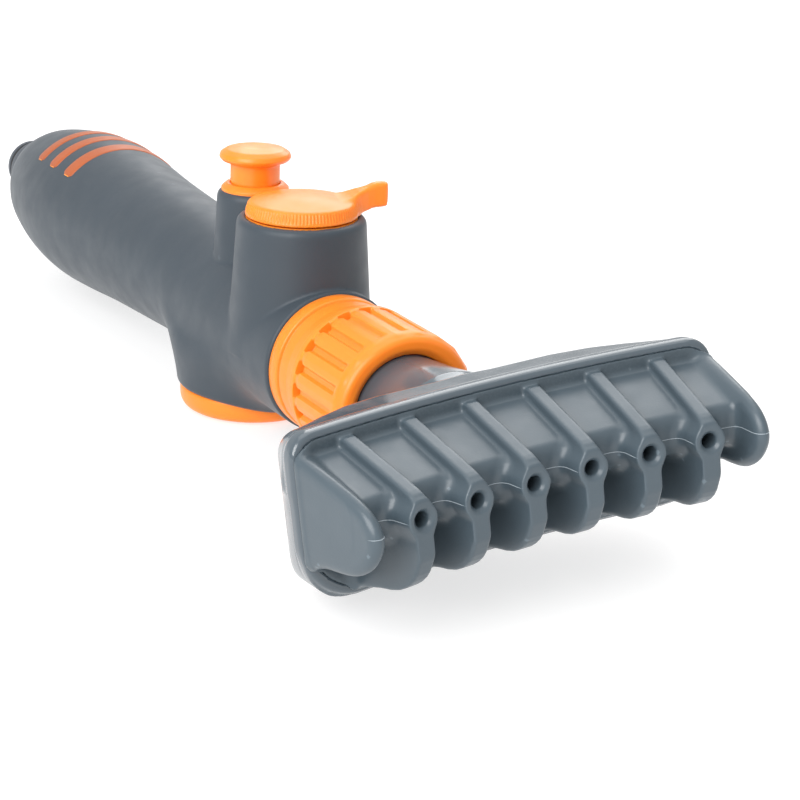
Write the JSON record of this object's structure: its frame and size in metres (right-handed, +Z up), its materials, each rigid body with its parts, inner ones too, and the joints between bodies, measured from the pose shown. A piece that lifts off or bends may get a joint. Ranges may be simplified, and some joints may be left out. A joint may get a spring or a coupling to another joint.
{
  "type": "hose spray nozzle",
  "caption": "Comb-head hose nozzle with a soft grip, push button valve, flow dial with lever, and a wide swivelling head of jet fins between end guards.",
  "frame": {"origin": "centre of the inlet plug's shoulder land, on the handle's axis", "axes": "+Y along the handle towards the hose, -Y to the jets, +Z up through the dial and button, +X to the right seen from behind"},
  "size_m": [0.0963, 0.31, 0.0641],
  "materials": {
    "soft_grey": "soft-touch, satin",
    "orange": "satin moulded",
    "head_grey": "satin moulded, fine grain",
    "plug_grey": "satin moulded",
    "white_acetal": "satin moulded",
    "seal_black": "matt",
    "spring_steel": "drawn wire"
  },
  "bodies": {
    "body": {"handle_core": "orange", "valve_body": "orange", "grip_overmould": "soft_grey", "inlet_plug": "plug_grey", "inlet_washer": "seal_black", "inlet_oring": "seal_black", "inlet_filter": "white_acetal", "outlet_collar": "orange", "bottom_cap": "orange", "bottom_cap_seal": "seal_black", "plunger_bezel": "orange", "valve_sleeve": "white_acetal", "plunger_spring": "spring_steel", "rotor_retainer": "white_acetal"},
    "plunger": {"plunger_button": "orange", "valve_spool": "white_acetal", "spool_seals": "seal_black"},
    "dial": {"flow_dial": "orange", "dial_rotor": "white_acetal", "rotor_seals": "seal_black"},
    "coupling_slide": {"retaining_ring": "white_acetal", "head_washer": "seal_black"},
    "nut": {"coupling_nut": "orange"},
    "head": {"head_manifold": "head_grey", "comb_front": "head_grey"}
  },
  "joints": [
    {"name": "plunger_press", "type": "slide", "parent": "body", "child": "plunger", "axis": [0, 0, -1], "range_m": [0, 0.0038], "stiffness_N_per_m": 600, "springref_m": -0.004, "deforming": ["plunger_spring"]},
    {"name": "dial_turn", "type": "hinge", "parent": "body", "child": "dial", "pos_m": [0, -0.1805, 0], "axis": [0, 0, 1], "range_deg": [-79, 11]},
    {"name": "head_draw", "type": "slide", "parent": "body", "child": "coupling_slide", "axis": [0, -1, 0], "range_m": [0, 0.0036]},
    {"name": "nut_turn", "type": "hinge", "parent": "coupling_slide", "child": "nut", "pos_m": [0, -0.22, -0.002], "axis": [0, -1, 0], "range_deg": [0, 720]},
    {"name": "head_swivel", "type": "hinge", "parent": "coupling_slide", "child": "head", "pos_m": [0, -0.22, -0.002], "axis": [0, -1, 0], "continuous": true}
  ],
  "couplings": [
    {"joint": "nut_turn", "follows": "head_draw", "rad_per_m": 3490.7}
  ]
}
